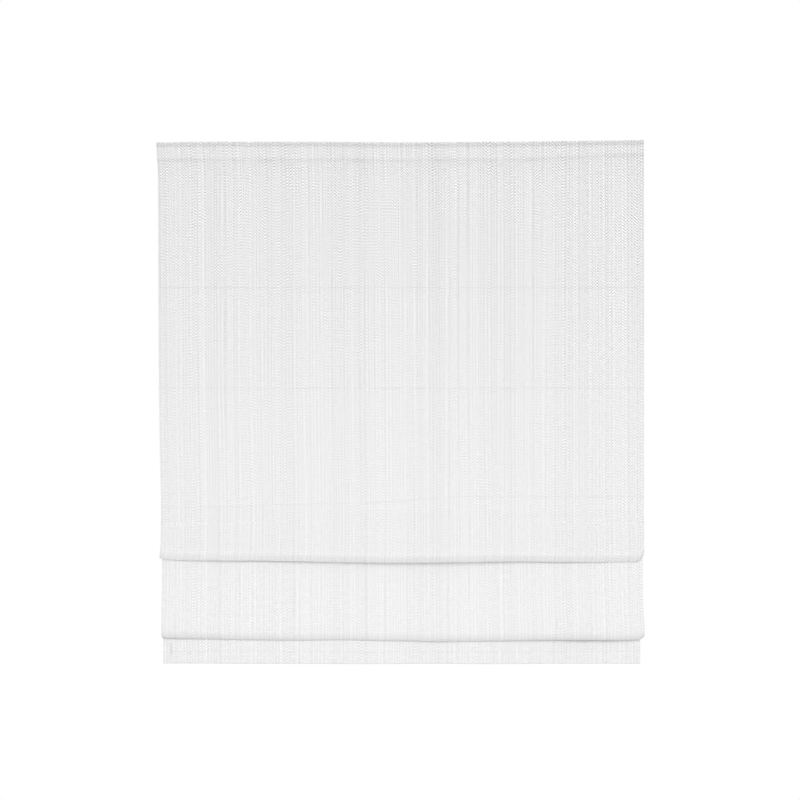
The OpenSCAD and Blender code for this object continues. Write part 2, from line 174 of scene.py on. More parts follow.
def cloth_path():
    """Middle line of the cloth's section, from the end of the top hem to the end of the bottom hem."""
    top_r = (hem_back_y - cloth_y) / 2
    top_mid = cloth_high.z - CLOTH_T / 2 - top_r
    hem_mid = cloth_low.z + CLOTH_T / 2 + HEM_R
    hem_seam = cloth_low.z + HEM_SEAM_H
    even_pulls = (0.4, 0.4)
    path = [(hem_back_y, HEM_TOP)]
    marks = {}

    def mark(name):
        marks[name] = len(path) - 1

    straight(path, hem_back_y, top_mid)
    mark("top_back")
    half_turn(path, cloth_y - hem_back_y, 1)
    mark("front")
    folds = (
        ("upper", seam_z[2], UPPER_EDGE_Z, UPPER_REACH, UPPER_R, UPPER_LIP, seam_z[3], EARLY_BELLY),
        ("lower", seam_z[3], LOWER_EDGE_Z, LOWER_REACH, LOWER_R, LOWER_LIP, seam_z[4], LATE_BELLY),
    )
    for name, above, edge, reach, r, fold_lip, below, belly in folds:
        straight(path, cloth_y, above - POCKET_LAND)
        mark(name + "_start")
        sway(path, cloth_y - reach, edge + CLOTH_T / 2 + fold_lip[1], belly)
        mark(name + "_front")
        lip(path, *fold_lip)
        mark(name + "_edge")
        rise(path, 2 * r - fold_lip[0], r)
        mark(name + "_back")
        sway(path, cloth_y - 2 * TURN_R, below + POCKET_LAND, even_pulls)
        mark(name + "_over")
        half_turn(path, 2 * TURN_R, 1)
        mark(name + "_end")
    straight(path, cloth_y, hem_mid)
    mark("hem_front")
    half_turn(path, 2 * HEM_R, -1)
    mark("hem_back")
    straight(path, path[-1][0], bar_top_z + BAR_EASE)
    sway(path, hem_back_y, hem_seam, even_pulls)
    straight(path, hem_back_y, hem_seam + HEM_TURN_IN)
    mark("end")
    points = np.array(path)
    along = np.concatenate([[0], np.cumsum(np.linalg.norm(np.diff(points, axis=0), axis=1))])
    return points[:, 0], points[:, 1], along, {name: along[i] for name, i in marks.items()}


path_y, path_z, path_s, mark_s = cloth_path()
CUT_L = path_s[-1]
FRONT_S = mark_s["front"]
FRONT_Z = float(np.interp(FRONT_S, path_s, path_z))


def front_s(z):
    """Length along the cloth at a height on the flat front panel."""
    return FRONT_S + FRONT_Z - z


def behind_s(start, end, z):
    """Length along the cloth at a height between two marks, where the cloth only goes down."""
    span = (path_s >= mark_s[start]) & (path_s <= mark_s[end])
    return float(np.interp(-z, -path_z[span], path_s[span]))


HEM_STITCH_S = mark_s["hem_front"] - (HEM_SEAM_H - HEM_R)
UPPER_EDGE_S = mark_s["upper_edge"]
LOWER_EDGE_S = mark_s["lower_edge"]
UNDER_UPPER_S = behind_s("lower_start", "lower_front", UPPER_EDGE_Z)
UNDER_LOWER_S = behind_s("lower_end", "hem_front", LOWER_EDGE_Z)
TACK_X = -HALF_W + 17 * MM
TACK_S = mark_s["hem_front"] - 27.5 * MM
TACK_H = 20 * MM
TACK_W = 1.5 * MM


# Hang of the cloth, read off the photograph

def smooth(x, start, end):
    """0 before start, 1 after end, and a soft step between them."""
    t = np.clip((x - start) / (end - start), 0, 1)
    return t * t * (3 - 2 * t)


def plateau(x, foot, top, brink, end):
    """Rises softly from 0 at foot to 1 at top, and falls softly from brink to 0 at end."""
    return smooth(x, foot, top) * (1 - smooth(x, brink, end))


def bell(x, width):
    """1 at 0, falling softly on both sides over about that width."""
    return np.exp(-(x / width) ** 2)


def curve_through(x, points):
    """A smooth curve through places and values that never swings past them, and is level beyond its ends."""
    knots = np.array(list(points), float)
    values = np.array(list(points.values()), float)
    steps = np.diff(values) / np.diff(knots)
    before = np.append(steps[0], steps)
    after = np.append(steps, steps[-1])
    gentler = np.sign(before) * np.minimum(np.abs(before), np.abs(after))
    slopes = np.where(before * after > 0, gentler, 0)
    i = np.clip(np.searchsorted(knots, x) - 1, 0, len(knots) - 2)
    span = knots[i + 1] - knots[i]
    t = np.clip((x - knots[i]) / span, 0, 1)
    s = 1 - t
    bend = s * s * t * span * slopes[i] - s * t * t * span * slopes[i + 1]
    return s * s * (1 + 2 * t) * values[i] + t * t * (1 + 2 * s) * values[i + 1] + bend


def left_edge(s):
    """The left edge leans in down the panel and comes out a little at the upper fold."""
    return MM * curve_through(s, {
        0: -499, FRONT_S: -501, front_s(-0.06): -497.6, front_s(-0.44): -496.6, front_s(-0.62): -494,
        mark_s["upper_start"]: -491.8, UPPER_EDGE_S - 24 * MM: -491.4, UPPER_EDGE_S - 8 * MM: -494,
        UPPER_EDGE_S: -494, mark_s["upper_over"]: -489.6, LOWER_EDGE_S - 12 * MM: -489.6,
        LOWER_EDGE_S: -488.8, mark_s["lower_end"]: -487.2, CUT_L: -487.2,
    })


def right_edge(s):
    """The right edge hangs straight and draws in at the folds and the hem."""
    return MM * curve_through(s, {
        0: 499, FRONT_S: 499.6, front_s(-0.44): 500, mark_s["upper_start"]: 499.4,
        UPPER_EDGE_S - 14 * MM: 498.8, UPPER_EDGE_S: 497.6, mark_s["upper_over"]: 496.8,
        mark_s["lower_front"] - 60 * MM: 497.4, LOWER_EDGE_S - 12 * MM: 499.4, LOWER_EDGE_S: 498,
        mark_s["lower_end"]: 492.2, CUT_L: 492.2,
    })


def upper_lift(x):
    """How far the upper fold's edge hangs above its place in the section."""
    return MM * curve_through(x / MM, {
        -500: 9, -488: 6, -460: 4.6, -430: 4.3, -300: 3.8, -225: 3, -130: 1, -20: 0, 110: 0.9, 184: 2,
        249: 2.4, 315: 1.1, 400: 0.7, 447: 1.3, 479: 1.8, 491.5: 2.6, 496: 8, 500: 14,
    })


def lower_lift(x):
    """How far the lower fold's edge hangs above its place in the section, below 0 where it hangs lower."""
    return MM * curve_through(x / MM, {
        -500: 6.5, -485: 5, -440: 4.6, -408: 4.1, -360: 2.6, -290: 2, -210: 0.8, -130: 1.4, -46: 0,
        20: -0.3, 65: -1.4, 118: -0.9, 200: -0.3, 249: 0.7, 315: 2.1, 400: 2, 460: 1.6, 490: 2.4, 500: 8,
    })


def upper_back(x):
    """How far the upper fold's edge lies behind its place in the section, towards the cloth behind it."""
    return MM * curve_through(x / MM, {
        -483: 4.8, -385: 2.3, -286: 1.8, -188: 0, -89: -2.7, 10: -3.7, 80: -4.7, 157: -2.7, 256: 0,
        354: 2.8, 430: 5.3, 492: 6,
    })


def lower_back(x):
    """How far the lower fold's edge lies behind its place in the section, towards the hem."""
    return MM * curve_through(x / MM, {
        -483: 1.5, -385: 2.3, -286: 2.3, -188: 3.0, -89: 3.8, 10: 2.5, 108: 1.3, 206: 1.3, 305: -1.5,
        379: -5, 430: -4.5, 492: 0,
    })


def top_rise(x):
    """How far the top edge stands above or below level."""
    return MM * curve_through(x / MM, {
        -500: -2, -410: -0.6, -165: -0.65, 0: -1.85, 160: -0.8, 250: -0.4, 330: 0.9, 410: 1.7, 500: 3.1,
    })


def no_tilt(x):
    """Most stitch lines run level."""
    return 0 * x


def top_tilt(x):
    """The top stitches come closer to the edge at the right."""
    return -8 * MM * smooth(x, 0.22, 0.5)


def seam_3_tilt(x):
    """The third seam's stitches climb from left to right."""
    return (10 - 8 * smooth(x, -0.4, -0.1) - 13 * smooth(x, -0.1, 0.15)) * MM


# Stitch lines across the front: length along the cloth, tilt across it, height over which the mesh's rows
# lean with it, depth and half width of its shade, and where its unevenness starts
StitchLine = namedtuple("StitchLine", "s tilt lean_h shade shade_w start")
STITCH_LINES = (
    StitchLine(front_s(HEM_TOP + 0.2 * MM), top_tilt, 16 * MM, 1.5, 4.6 * MM, 3),
    StitchLine(front_s(seam_z[0] - 1.2 * MM), no_tilt, 60 * MM, 0.42, 4.0 * MM, 6),
    StitchLine(front_s(seam_z[1] - 0.4 * MM), no_tilt, 60 * MM, 0.34, 3.4 * MM, 6),
    StitchLine(front_s(seam_z[2]), seam_3_tilt, 60 * MM, 0.32, 3.0 * MM, 6),
    StitchLine(HEM_STITCH_S, no_tilt, 60 * MM, 0.1, 4.6 * MM, 3),
)
TOP_STITCHES = STITCH_LINES[0]


def fold_share(s, name):
    """0 at a fold's seams, rising to 1 at its lower edge."""
    edge = mark_s[name + "_edge"]
    down = smooth(s, mark_s[name + "_start"], edge)
    up = 1 - smooth(s, edge, mark_s[name + "_over"])
    return np.minimum(down, up)


def back_share(s, name, behind):
    """0 at a fold's seams, 1 from the foot of its front to its lower edge, and behind at its back."""
    down = smooth(s, mark_s[name + "_start"], mark_s[name + "_front"])
    round_edge = smooth(s, mark_s[name + "_edge"], mark_s[name + "_back"])
    up = smooth(s, mark_s[name + "_back"], mark_s[name + "_over"])
    return down - (1 - behind) * round_edge - behind * up


def flat_share(s):
    """1 on the flat panel and on the hem strip, 0 inside the folds and hems."""
    panel_end = mark_s["upper_start"]
    strip_start = mark_s["lower_end"]
    strip_end = mark_s["hem_front"]
    panel = plateau(s, FRONT_S, FRONT_S + 6 * MM, panel_end, panel_end + 25 * MM)
    return panel + plateau(s, strip_start, strip_start + 15 * MM, strip_end - 5 * MM, strip_end)


def bay(s):
    """0 at each seam that a rod keeps straight, 1 midway between two."""
    reach = 60 * MM
    stops = [FRONT_S] + [front_s(z) for z in seam_z[:3]]
    return sum(plateau(s, start, start + reach, end - reach, end) for start, end in zip(stops, stops[1:]))


def cloth_points(s, x):
    """Points on the cloth's middle surface, for lengths along it and places across its flat width."""
    y = np.interp(s, path_s, path_y) - EASE
    z = np.interp(s, path_s, path_z)
    left = left_edge(s)
    right = right_edge(s)
    across = left + (right - left) * (x / CLOTH_W + 0.5)
    flat = flat_share(s)
    upper = fold_share(s, "upper")
    lower = fold_share(s, "lower")

    # The top edge is out of level, the fold edges rise at their ends and the hem sags a little
    z = z + top_rise(x) * bell(s - FRONT_S, TOP_RISE_H)
    z = z + upper * upper_lift(x) + lower * lower_lift(x)
    hem = smooth(s, mark_s["lower_end"], mark_s["hem_front"])
    z = z + hem * (HEM_WAVE * (np.sin(x / 0.041) + np.sin(x / 0.067 + 1.3)) - HEM_SAG * bell(x, 0.25))

    # The top edge, free of the tape, leans out
    apex = (mark_s["top_back"] + FRONT_S) / 2
    y = y - TOP_LEAN * (1 - smooth(np.abs(s - apex), 0, TOP_LEAN_H))

    # The folds stand out unevenly
    y = y + back_share(s, "upper", UPPER_BEHIND) * upper_back(x)
    y = y + back_share(s, "lower", LOWER_BEHIND) * lower_back(x)
    foot = plateau(s, mark_s["upper_start"], mark_s["upper_front"], mark_s["upper_front"], UPPER_EDGE_S)
    y = y + foot * UPPER_FOOT_BACK * (1 - smooth(x, -0.4, -0.1))
    y = y - upper * UPPER_WAVE * (np.sin(x / 0.058 + 0.4) + 0.6 * np.sin(x / 0.031 + 2.0))
    y = y - lower * LOWER_WAVE * (1.6 + np.sin(x / 0.047 + 1.9) + 0.6 * np.sin(x / 0.027))

    # The panel swells a little between its seams, and lies a little lower along each stitch line
    swell = flat
    pucker = 0
    for line in STITCH_LINES:
        away = s - line.s - line.tilt(x)
        swell = swell * (1 - bell(away, GROOVE_W))
        pucker = pucker + bell(away, PUCKER_W) * (np.sin(x / 0.0021) + np.sin(x / 0.0034 + line.start))
    for edge in (left, right):
        inside = np.abs(across - edge) - SIDE_HEM_W
        swell = swell * (1 - SIDE_GROOVE_SHARE * bell(inside, SIDE_GROOVE_W))
    slow = np.sin(x / 0.061 + s / 0.21) + np.sin(x / 0.093 - s / 0.17 + 1.1)
    slow = slow + 0.7 * np.sin(s / 0.043 + x / 0.3)
    y = y - swell * PILLOW - flat * PUCKER * pucker - flat * PANEL_WAVE * (slow + 2.7) * bay(s)
    return np.stack([across, y, z], axis=-1)


# Painted shade on the front for thread, contact shadow and other shadow finer than the mesh
TOP_SHADE = 1.45
BELOW_TOP_SHADE = 0.3
UPPER_FRONT_SHADE = 0.32
TACK_SHADE = 3.6
SIDE_HEM_SHADE = 0.6
SIDE_HEM_SHADE_W = 2.2 * MM
LEFT_EXTRA = 0.2  # how much darker the left side hem is than this, and the right one lighter
CONTACT_W = 2.0 * MM
CONTACT_DROP = 0.6 * MM
LIGHTEST = -1
DARKEST = 5


def thread_and_painted_shade(s, x):
    """Painted shade for thread and pixel-wide shadow at a place, below 0 where painted light lightens it."""
    shade = 0
    for line in STITCH_LINES:
        broken = 0.75 + 0.4 * np.sin(x / 0.019 + line.start) * np.sin(x / 0.053)
        shade = shade + line.shade * broken * bell(s - line.s - line.tilt(x), line.shade_w)

    # Painted shade along the top edge, painted shadow below its stitches and painted shade on the upper
    # fold's front
    top = plateau(s, FRONT_S - 0.5 * MM, FRONT_S + 2 * MM, FRONT_S + 5 * MM, FRONT_S + 12 * MM)
    below = plateau(s - TOP_STITCHES.s - TOP_STITCHES.tilt(x), 0, 3 * MM, 6 * MM, 50 * MM)
    shade = shade + TOP_SHADE * top + BELOW_TOP_SHADE * below
    start = mark_s["upper_start"]
    end = mark_s["upper_front"]
    shade = shade + UPPER_FRONT_SHADE * plateau(s, start, start + 20 * MM, end - 22 * MM, end)
    # Painted light round the hem's lower turn, which faces down
    start = mark_s["hem_front"]
    end = mark_s["hem_back"]
    shade = shade - plateau(s, start - 0.5 * MM, start + 1.5 * MM, end, end + 3 * MM)

    # Painted contact shadow just under the folds' lower edges, where they come closest to the cloth behind
    # them, and painted light at the upper fold's left end
    under_upper = bell(s - UNDER_UPPER_S + upper_lift(x) - CONTACT_DROP, CONTACT_W)
    under_lower = bell(s - UNDER_LOWER_S + lower_lift(x) - CONTACT_DROP, CONTACT_W)
    upper_depth = 0.3 - 1.2 * bell(x + 0.47, 0.05) + 3.4 * bell(x + 0.28, 0.08) + 2.4 * bell(x - 0.3, 0.1)
    lower_depth = 2.2 * bell(x + 0.46, 0.05) + 0.8 * bell(x - 0.07, 0.06) + 5 * bell(x - 0.39, 0.07)
    shade = shade + under_upper * upper_depth + under_lower * lower_depth

    # On the tack, and along the inner edges of the side hems
    shade = shade + TACK_SHADE * bell(x - TACK_X, TACK_W) * bell(s - TACK_S, TACK_H / 2)
    side = bell(np.abs(np.abs(x) - HALF_W) - SIDE_HEM_W, SIDE_HEM_SHADE_W)
    shade = shade + (SIDE_HEM_SHADE - LEFT_EXTRA * np.sign(x)) * side * flat_share(s)
    return np.clip(shade, LIGHTEST, DARKEST)


# Mesh helpers

SHARP_EDGE = math.radians(50)
STRIP_COLUMNS = 5  # across a side hem or a band
BAND_ROWS = 150


def place(name, data):
    """A new object at the origin."""
    obj = bpy.data.objects.new(name, data)
    bpy.context.scene.collection.objects.link(obj)
    return obj


def spaced(spans, extra, least=0.25 * MM):
    """Sorted places along a length: spans of (start, end, step), with extra places added."""
    places = [np.linspace(a, b, max(2, round((b - a) / step) + 1)) for a, b, step in spans]
    merged = np.sort(np.concatenate(places + [np.asarray(extra, float)]))
    keep = [merged[0]]
    for value in merged[1:]:
        if value - keep[-1] > least:
            keep.append(value)
    return np.array(keep)


def unit(vectors):
    """The same directions, one long."""
    return vectors / np.linalg.norm(vectors, axis=-1, keepdims=True)


def surface_normals(points):
    """Unit normals of a grid of points that point to the wall where the cloth hangs straight."""
    return unit(np.cross(np.gradient(points, axis=1), np.gradient(points, axis=0)))


def thick_grid(name, points, thickness, uv, shade=None):
    """A closed strip of that thickness about a grid of points, with painted shade on its front alone."""
    rows, cols = points.shape[:2]
    count = rows * cols
    normal = surface_normals(points)
    front = (points - normal * thickness / 2).reshape(-1, 3)
    back = (points + normal * thickness / 2).reshape(-1, 3)
    index = np.arange(count).reshape(rows, cols)
    a = index[:-1, :-1].ravel()
    b = index[:-1, 1:].ravel()
    c = index[1:, 1:].ravel()
    d = index[1:, :-1].ravel()
    rim = np.concatenate([index[0, :-1], index[:-1, -1], index[-1, :0:-1], index[:0:-1, 0]])
    after = np.roll(rim, -1)
    faces = [
        np.stack([a, d, c, b], 1),
        np.stack([a, b, c, d], 1) + count,
        np.stack([rim, after, after + count, rim + count], 1),
    ]
    mesh = bpy.data.meshes.new(name)
    mesh.from_pydata(np.concatenate([front, back]).tolist(), [], np.concatenate(faces).tolist())
    corner = np.zeros(len(mesh.loops), np.int32)
    mesh.loops.foreach_get("vertex_index", corner)
    both = np.concatenate([uv.reshape(-1, 2)] * 2)
    mesh.uv_layers.new(name="UVMap").data.foreach_set("uv", both[corner].ravel())
    if shade is not None:
        layer = mesh.attributes.new("thread_and_painted_shade", "FLOAT", "POINT")
        layer.data.foreach_set("value", np.concatenate([shade.ravel(), np.zeros(count)]).astype(np.float32))
    mesh.shade_smooth()
    mesh.set_sharp_from_angle(angle=SHARP_EDGE)
    return place(name, mesh)


def hangs(obj):
    """Bakes the piece's place into its mesh; the piece hangs with the cloth between the rail and the bottom
    bar.
    """
    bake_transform(obj)


# Nodes

# Kinds of node that are used most. A range takes a value, the span that it lies in and the span it goes to.
MATH = "ShaderNodeMath"
RANGE = "ShaderNodeMapRange"
VECTOR = "ShaderNodeVectorMath"
NOISE = "ShaderNodeTexNoise"
BUMP = "ShaderNodeBump"
COORDINATES = "ShaderNodeTexCoord"
SPLIT = "ShaderNodeSeparateXYZ"

NOISE_SPAN = (0.3, 0.7)  # where most of a noise lies


def linear(colour):
    """Linear values of an sRGB colour written as hex."""
    channels = [int(colour[i:i + 2], 16) / 255 for i in (0, 2, 4)]
    return [c / 12.92 if c <= 0.04045 else ((c + 0.055) / 1.055) ** 2.4 for c in channels] + [1.0]


def connect(tree, node, inputs):
    """Sets a node's inputs, in order or by name, to values, sockets or the first outputs of nodes."""
    pairs = inputs.items() if isinstance(inputs, dict) else enumerate(inputs)
    for key, value in pairs:
        source = value.outputs[0] if isinstance(value, bpy.types.Node) else value
        if isinstance(source, bpy.types.NodeSocket):
            tree.links.new(source, node.inputs[key])
        else:
            node.inputs[key].default_value = source
    return node


def add(tree, kind, inputs=(), **settings):
    """A new node with its settings and its inputs."""
    node = tree.nodes.new(kind)
    for key, value in settings.items():
        setattr(node, key, value)
    return connect(tree, node, inputs)


def blank(name):
    """A new material with its node tree and its shader."""
    material = bpy.data.materials.new(name)
    material.use_nodes = True
    tree = material.node_tree
    return material, tree, tree.nodes["Principled BSDF"]


def ribbed(tree, turns):
    """Swings from -1 to 1 and back once each turn, as threads laid side by side do."""
    angle = add(tree, MATH, [turns, 2 * math.pi], operation="MULTIPLY")
    return add(tree, MATH, [angle], operation="SINE")


def in_cells(tree, sizes):
    """Places on a piece, counted in cells of these sizes along x, y and z."""
    here = add(tree, COORDINATES).outputs["Object"]
    return add(tree, VECTOR, [here, [1 / size for size in sizes]], operation="MULTIPLY")


def grained(tree, sizes, detail=2.0):
    """Noise with grains of these sizes along x, y and z."""
    return add(tree, NOISE, {"Vector": in_cells(tree, sizes), "Scale": 1.0, "Detail": detail})


def toned(tree, colour, pattern, low, high, span=NOISE_SPAN):
    """A colour that a pattern takes from low to high times its own lightness."""
    tone = add(tree, RANGE, [pattern, *span, low, high])
    return add(tree, VECTOR, {0: linear(colour)[:3], "Scale": tone}, operation="SCALE")


# Materials

CLOTH_COLOUR = "D9D9D9"

# Sizes of the weave. Real twill and threads are finer, and are drawn as coarse as the photograph has them.
REPEAT_W = 153.3 * MM
STRIPE_W = 9.5 * MM
CLEAR_AT = 54 * MM
CLEAR_W = 34 * MM
TWILL_W = 6.5 * MM
TWILL_H = 6.2 * MM
THREAD_W = 6.7 * MM

# The weave's lines: lean, how far they lighten and darken the cloth, their shares in the stripes that pick
# least and most, and their share in the clear stripe
TWILLS = {
    "falling": (-1, 0.27, 0.5, 1.1, 1.2),
    "rising": (1, 0.295, 1.1, 0.4, 0.2),
    "level": (0, 0.18, 0.7, 0.5, 0.35),
}

# How far the other parts of the pattern lighten and darken the cloth
THREAD_DEPTH = 0.07
STRIPE_DEPTH = 0.035
BROAD_DEPTH = 0.08
SLUB_DEPTH = 0.25
SHADE_DEPTH = 0.07  # what a full measure of painted shade and thread takes off the colour

# Lengths along the cloth over which the pattern changes
PLAINER = (0.1, 0.6)
SPARSER = (0.15, 1.0)
CLEAR_FADES = (0.2, 0.36)
TWILL_FADES = (0.2, 0.5)
LOW_TWILL_FADES = (0.8, 1.05)

RIGHT_HALF = (0.5, 1.0)  # lengths across the cloth from its left edge
PATCH_SPAN = (0.32, 0.68)  # where a patch's noise takes it from weak to strong
PICK_SPAN = (0.2, 0.8)  # where a stripe's pick takes it from least to most
STRIPE_UNEVEN = 0.9
START_SPREAD = 4.0  # turns by which one stripe's twill can start after another's
START_DRIFT = 0.6  # turns by which a twill drifts within its stripe
TWILL_APART = 3.1  # how far away each twill reads its patches, so that they differ
THREAD_SWAY = 3.0  # turns by which the upright threads crowd and spread


def cloth_material():
    """White cotton and polyester, woven in upright stripes of broken twill that repeat across the width.

    The eye sees fine slanted lines that come and go, upright threads and slubs, with hardly any shine.
    """
    material, tree, shader = blank("striped_twill_cloth")
    node = partial(add, tree)
    uv = node("ShaderNodeUVMap", uv_map="UVMap")
    across, along = node(SPLIT, [uv]).outputs[:2]

    def mottled(width, length, detail=2.0, start=0.0):
        """Noise with spots of that width and length, read from another place for each start."""
        moved = node(VECTOR, [uv, (start, start, 0.0)], operation="ADD")
        counted = node(VECTOR, [moved, (1 / width, 1 / length, 1.0)], operation="MULTIPLY")
        return node(NOISE, {"Vector": counted, "Scale": 1.0, "Detail": detail})

    def patchy(width, length, low, high, start=0.0, thin=0.0):
        """Strength that comes and goes in patches of that size, fewer where thin is larger."""
        patch = node(MATH, [mottled(width, length, start=start), thin], operation="SUBTRACT")
        return node(RANGE, [patch, *PATCH_SPAN, low, high])

    # Each stripe picks its own start, depth and lightness
    within = node(MATH, [across, REPEAT_W], operation="FLOORED_MODULO")
    stripe_at = node(MATH, [within, STRIPE_W], operation="DIVIDE")
    stripe = node("ShaderNodeTexVoronoi", {"W": stripe_at, "Scale": 1.0, "Randomness": STRIPE_UNEVEN},
                  voronoi_dimensions="1D")
    pick_depth, pick_light, pick_start = node("ShaderNodeSeparateColor", [stripe.outputs["Color"]]).outputs
    narrow = node(RANGE, [pick_light, 0, 1, -STRIPE_DEPTH, STRIPE_DEPTH])
    broad = node(RANGE, [mottled(55 * MM, 4.0), 0, 1, -BROAD_DEPTH / 2, BROAD_DEPTH / 2])

    # One broad stripe of each repeat shows a clear twill, less so further down and to the right
    from_clear = node(MATH, [within, CLEAR_AT], operation="SUBTRACT")
    off_clear = node(MATH, [from_clear], operation="ABSOLUTE")
    clear_edge = (0.35 * CLEAR_W, 0.5 * CLEAR_W)
    clear_down = node(RANGE, [along, *CLEAR_FADES, 1.0, 0.1])
    clear_right = node(RANGE, [across, *RIGHT_HALF, 1.0, 0.5])
    clearest = node(MATH, [clear_down, clear_right], operation="MULTIPLY")
    clear = node(RANGE, [off_clear, *clear_edge, clearest, 0.0])

    # Twills that cross each other, each stronger in some stripes and in its own patches
    full_start = node(MATH, [pick_start, START_SPREAD], operation="MULTIPLY")
    own_start = node(RANGE, [off_clear, *clear_edge, 0.0, full_start])
    start = node(MATH, [own_start, patchy(60 * MM, 150 * MM, 0.0, START_DRIFT)], operation="ADD")
    down = node(MATH, [along, 1 / TWILL_H, start], operation="MULTIPLY_ADD")
    sparse = node(RANGE, [along, *SPARSER, 0.0, 0.04])
    weave = 0.0
    for count, (lean, depth, least, most, clear_share) in enumerate(TWILLS.values()):
        turns = node(MATH, [across, lean / TWILL_W, down], operation="MULTIPLY_ADD")
        strength = patchy(9 * MM, 120 * MM, 0.2 * depth, depth, TWILL_APART * count, sparse)
        stripe_share = node(RANGE, [pick_depth, *PICK_SPAN, least, most])
        share = node(RANGE, [clear, 0.0, 1.0, stripe_share, clear_share])
        amount = node(MATH, [strength, share], operation="MULTIPLY")
        weave = node(MATH, [ribbed(tree, turns), amount, weave], operation="MULTIPLY_ADD")
    breaks = patchy(8 * MM, 17 * MM, 0.1, 1.7, 1.7)
    twill_down = node(RANGE, [along, *TWILL_FADES, 1.0, 0.88])
    twill_low = node(RANGE, [along, *LOW_TWILL_FADES, 1.0, 0.84])
    for strength in (breaks, twill_down, twill_low):
        weave = node(MATH, [weave, strength], operation="MULTIPLY")

    # Upright threads that stand out for part of their length, and slubs
    thread_at = node(MATH, [across, THREAD_W], operation="DIVIDE")
    turns = node(MATH, [mottled(22 * MM, 2.0, 1.0), THREAD_SWAY, thread_at], operation="MULTIPLY_ADD")
    strength = patchy(14 * MM, 110 * MM, 0.2 * THREAD_DEPTH, 1.4 * THREAD_DEPTH)
    upright = node(MATH, [ribbed(tree, turns), strength], operation="MULTIPLY")
    slub = node(RANGE, [mottled(6 * MM, 9 * MM), 0, 1, -SLUB_DEPTH / 2, SLUB_DEPTH / 2])
    slub_down = node(RANGE, [along, *TWILL_FADES, 1.0, 1.2])
    slub = node(MATH, [slub, slub_down], operation="MULTIPLY")

    # All of it is plainer further down the cloth
    pattern = weave
    for layer in (upright, narrow, broad, slub):
        pattern = node(MATH, [pattern, layer], operation="ADD")
    fade = node(RANGE, [along, *PLAINER, 1.04, 0.64])
    pattern = node(MATH, [pattern, fade], operation="MULTIPLY")
    # Painted shade and thread from the mesh darken the colour, and painted light lightens it
    shade = node("ShaderNodeAttribute", attribute_name="thread_and_painted_shade").outputs["Fac"]
    shaded = node(MATH, [shade, -SHADE_DEPTH, 1.0], operation="MULTIPLY_ADD")
    tone = node(MATH, [pattern, shaded, shaded], operation="MULTIPLY_ADD")
    connect(tree, shader, {
        "Base Color": node(VECTOR, {0: linear(CLOTH_COLOUR)[:3], "Scale": tone}, operation="SCALE"),
        "Roughness": 0.92,
        "Specular IOR Level": 0.25,
        "Sheen Weight": 0.1,
        "Sheen Roughness": 0.6,
        "Normal": node(BUMP, {"Height": pattern, "Distance": 0.25 * MM}),
    })
    return material


def thread_material():
    """Spun polyester sewing thread, which has a soft gleam and the faint shades of its twist."""
    material, tree, shader = blank("polyester_sewing_thread")
    twist = grained(tree, (0.5 * MM, 0.2 * MM, 0.2 * MM))
    connect(tree, shader, {
        "Base Color": toned(tree, "D8D8D7", twist, 0.95, 1.03),
        "Roughness": 0.6,
        "Sheen Weight": 0.1,
    })
    return material


def tape_material():
    """Plain woven cotton tape, which is matt with a small check of threads, drawn 0.7 mm apart to show."""
    material, tree, shader = blank("woven_cotton_tape")
    at = add(tree, SPLIT, [in_cells(tree, [0.7 * MM] * 3)]).outputs
    weave = add(tree, MATH, [ribbed(tree, at[0]), ribbed(tree, at[2])], operation="MULTIPLY")
    connect(tree, shader, {
        "Base Color": toned(tree, "EDEDEB", weave, 0.95, 1.02, (-1.0, 1.0)),
        "Roughness": 0.9,
        "Specular IOR Level": 0.2,
        "Sheen Weight": 0.15,
        "Normal": add(tree, BUMP, {"Height": weave, "Distance": 0.08 * MM}),
    })
    return material


def band_material():
    """Woven polyester lift band, with a dull gleam on close ribs across it and fainter lines along it."""
    material, tree, shader = blank("ribbed_polyester_band")
    at = add(tree, SPLIT, [in_cells(tree, (0.9 * MM, 0.9 * MM, 1.1 * MM))]).outputs
    weave = add(tree, MATH, [ribbed(tree, at[0]), 0.5, ribbed(tree, at[2])], operation="MULTIPLY_ADD")
    connect(tree, shader, {
        "Base Color": toned(tree, "E8E8E5", weave, 0.93, 1.02, (-1.5, 1.5)),
        "Roughness": 0.7,
        "Sheen Weight": 0.1,
        "Normal": add(tree, BUMP, {"Height": weave, "Distance": 0.1 * MM}),
    })
    return material


def powder_coat_material():
    """Extruded aluminium with a white powder coat, which is satin with a fine orange peel."""
    material, tree, shader = blank("white_powder_coated_aluminium")
    peel = grained(tree, [1.2 * MM] * 3)
    connect(tree, shader, {
        "Base Color": linear("EAEAE8"),
        "Roughness": add(tree, RANGE, [peel, *NOISE_SPAN, 0.36, 0.46]),
        "Normal": add(tree, BUMP, {"Height": peel, "Distance": 0.03 * MM}),
    })
    return material


def zinc_material():
    """Steel with bright zinc plating, which has a soft shine and the faint clouds that plating leaves."""
    material, tree, shader = blank("zinc_plated_steel")
    cloud = grained(tree, [6 * MM] * 3, 4.0)
    rolled = grained(tree, (8 * MM, 0.4 * MM, 0.4 * MM))
    connect(tree, shader, {
        "Base Color": toned(tree, "C9CBCD", cloud, 0.9, 1.05),
        "Metallic": 1.0,
        "Roughness": add(tree, RANGE, [cloud, *NOISE_SPAN, 0.28, 0.42]),
        "Normal": add(tree, BUMP, {"Height": rolled, "Distance": 0.01 * MM}),
    })
    return material


def plastic_material(name, colour, roughness):
    """Acetal moulded in a spark-eroded tool, which leaves a smooth, waxy skin with a fine grain."""
    material, tree, shader = blank(name)
    skin = grained(tree, [0.6 * MM] * 3)
    connect(tree, shader, {
        "Base Color": toned(tree, colour, skin, 0.98, 1.01),
        "Roughness": roughness,
        "Normal": add(tree, BUMP, {"Height": skin, "Distance": 0.015 * MM}),
    })
    return material


